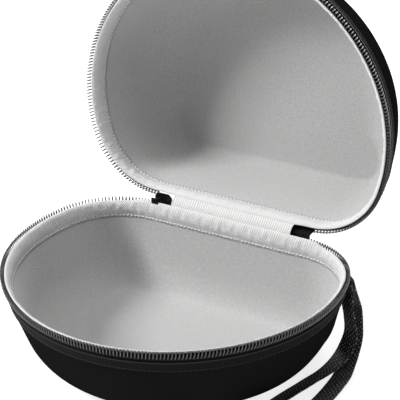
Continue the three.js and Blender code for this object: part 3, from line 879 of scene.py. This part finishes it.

# %% [markdown]
# ## The fabric hinge
# A black woven strip is sewn over the back of both halves, and a narrow pale strip closes the gap inside.
# Each is one piece of cloth that bends when the lid moves, so each is one mesh, here shaped for the open
# lid: straight up the base's wall, round a tight bend at the hinge line, and on along the lid's wall.


# %% Hinge strips
def hinge_path(levels, out, bend):
    """Distances down the base's back wall become points in the plane of y and z; the lid's half is the same,
    mirrored and turned; a quadratic curve with its control point at bend joins them."""
    base_side = wall(HALF_RIM, np.array(levels, float), out)[:, 1:]
    lid_side = as_lid(wall(HALF_RIM, np.array(levels, float), out))[::-1, 1:]
    t = np.linspace(0, 1, 10)[1:-1, None]
    corner = (1 - t) ** 2 * base_side[-1] + 2 * t * (1 - t) * np.array(bend) + t**2 * lid_side[0]
    return np.concatenate([base_side, corner, lid_side])


def build_hinge(name, path, left, right, thickness, finish, slot, nodes):
    """A flat section with rounded edges is carried along x, with the path as its middle line."""
    forward = unit(np.gradient(path, axis=0))
    normal = np.stack([-forward[:, 1], forward[:, 0]], axis=1)
    outer, inner = path + normal * thickness / 2, path - normal * thickness / 2
    caps = [path[-1:] + forward[-1:] * thickness / 2, path[:1] - forward[:1] * thickness / 2]
    loop = np.concatenate([outer, caps[0], inner[::-1], caps[1]])
    x = np.linspace(left, right, 90)
    points = np.concatenate([np.broadcast_to(x[:, None, None], (len(x), len(loop), 1)),
                             np.broadcast_to(loop[None], (len(x), len(loop), 2))], axis=2)
    steps = np.linalg.norm(np.diff(loop, axis=0, append=loop[:1]), axis=1)
    run = np.concatenate([[0], np.cumsum(steps)])
    pattern = np.stack(np.broadcast_arrays(x[:, None], run[None, :]), axis=-1)
    mesh = tidy(mesh_from_grid(name, points, pattern, wrap=(False, True), caps=True))
    strip = piece(mesh, None, slot, *nodes, finish=finish)
    (HINGE_Y - 0.8) * MM
    (MID_Z - 1.4) * MM
    (HINGE_Y + 1.4) * MM
    (MID_Z + 0.6) * MM
    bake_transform(strip)


OUTER_LEFT, OUTER_RIGHT = -39.5, 54.5
INNER_LEFT, INNER_RIGHT = -39.5, 43.0
outer_path = hinge_path(np.linspace(15, -1.2, 14), out=3.8, bend=(HINGE_Y - 0.5, MID_Z + 0.45))
build_hinge("hinge_strip", outer_path, OUTER_LEFT, OUTER_RIGHT, thickness=0.6, finish=HINGE_WEAVE,
            slot="hinge_weave", nodes=["base_hinge_strip_leaf", "lid_hinge_strip_leaf"])
inner_path = hinge_path(np.linspace(0.6, -1.9, 5), out=0.62, bend=(HINGE_Y - 2.6, MID_Z + 2.6))
build_hinge("hinge_lining_strip", inner_path, INNER_LEFT, INNER_RIGHT, thickness=0.4, finish=TWILL,
            slot="twill_binding", nodes=["base_hinge_lining_leaf", "lid_hinge_lining_leaf"])

# %% [markdown]
# ## The strap's anchor
# The anchor is a folded patch of the same webbing, sewn down with a row of stitches near each end. It could
# be a box pressed on to the wall, but carried round the corner like the tape it takes the wall's own curve.


# %% Anchor
ANCHOR_HEADING = 137
ANCHOR_HALF_WIDTH = 5.6


def build_anchor():
    """A patch of the wall: a rounded flat profile from level to level, carried along the rear corner."""
    low, high = (np.array(v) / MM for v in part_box("strap_anchor"))
    centre = ARC_LENGTH - RIM_ARCS[2][0] * math.radians(180 - ANCHOR_HEADING)
    along = np.linspace(centre - ANCHOR_HALF_WIDTH, centre + ANCHOR_HALF_WIDTH, 30)
    profile = rounded([(8, 4.2), (20, 4.2), (20, 5.1), (8, 5.1)], 0.4, 3)
    carry("strap_patch", "base", along, profile, WEBBING, "webbing", ["strap_anchor"], closed=False)
    seams = [stitch_run(along[3:-3:3], level, 5.12, length=1.2, radius=0.18, rise=0.15)
             for level in (9.4, 18.6)]
    mesh = rods_mesh("strap_patch_stitches", np.concatenate(seams))
    piece(mesh, "base", "dark_thread", finish=DARK_THREAD)
    print("anchor between", low.round(1), high.round(1))


build_anchor()


# %% [markdown]
# ## The slider, its bail and the pull
# These are die-cast metal. Their shapes are right in the CAD model, so they could stay as they are with a
# better material. But cast and tumbled metal has no sharp edge, so a copy of each gets a narrow bevel.


# %% Slider, bail and pull
BEVEL_FROM = math.radians(35)


def rounded_copy(node, name, body, width_mm):
    """The CAD solid's own faces, merged, with a narrow bevel on every sharp edge."""
    mesh = frame["nodes"][node].data.copy()
    mesh.name = name
    mesh.materials.clear()
    tidy(mesh, smooth=False)
    copy = piece(mesh, body, "slider_metal", node, finish=METAL)
    bevel = copy.modifiers.new("edges", "BEVEL")
    bevel.width, bevel.segments, bevel.limit_method = width_mm * MM, 2, "ANGLE"
    bevel.angle_limit = BEVEL_FROM
    bevel.harden_normals = False


for node, name, body, width_mm in (("slider_body", "slider", "slider", 0.3),
                                   ("slider_bail", "bail", "slider", 0.25),
                                   ("pull_tab", "pull", "pull", 0.25)):
    rounded_copy(node, name, body, width_mm)

# %% [markdown]
# ## Stage and light
# A pale floor that glows, so that it stays white, and four square soft lights. The key is at the upper left
# and leaves the left wall of the lid in shade. The fill is weak, and the top and back lights lift the
# cover's upper and rear faces. One large lamp would be simpler, but it would flatten the bowls' insides.

# %% Floor and lights
FLOOR_REACH = 4
floor_mesh = bpy.data.meshes.new("floor")
floor_corners = [(x * FLOOR_REACH, y * FLOOR_REACH, 0) for x, y in ((-1, -1), (1, -1), (1, 1), (-1, 1))]
floor_mesh.from_pydata(floor_corners, [], [(0, 1, 2, 3)])
floor = bpy.data.objects.new("floor", floor_mesh)
bpy.context.scene.collection.objects.link(floor)
floor_finish = Finish("floor", Roughness=0.9, Specular_IOR_Level=0.1)
floor_finish.shader.inputs["Base Color"].default_value = (0.4, 0.4, 0.4, 1)
floor_finish.shader.inputs["Emission Color"].default_value = (1, 1, 1, 1)
floor_finish.shader.inputs["Emission Strength"].default_value = 0.8
floor_mesh.materials.append(floor_finish.material)


def area_light(name, place, aim, size, power):
    """A square soft light at a place, facing a point."""
    data = bpy.data.lights.new(name, "AREA")
    data.size, data.energy = size, power
    light = bpy.data.objects.new(name, data)
    back = unit(np.array(place) - np.array(aim))
    side = unit(np.cross([0, 0, 1], back))
    frame_axes = Matrix((side, np.cross(back, side), back)).transposed().to_4x4()
    light.matrix_world = Matrix.Translation(place) @ frame_axes
    bpy.context.scene.collection.objects.link(light)


area_light("key", (-1.25, -0.85, 1.25), aim=(0, 0.05, 0.1), size=0.5, power=42)
area_light("fill", (1.5, -1.2, 1.0), aim=(0, 0, 0.1), size=1.2, power=3)
area_light("top", (-0.05, -0.25, 1.7), aim=(0, 0, 0), size=0.8, power=14)
area_light("back", (-0.6, 1.7, 0.9), aim=(0, 0.05, 0.1), size=1.2, power=36)
world = bpy.data.worlds.new("surround")
world.use_nodes = True
background = world.node_tree.nodes["Background"]
background.inputs["Color"].default_value = (1, 1, 1, 1)
background.inputs["Strength"].default_value = 0.12
bpy.context.scene.world = world
bpy.context.scene.view_settings.view_transform = "Standard"
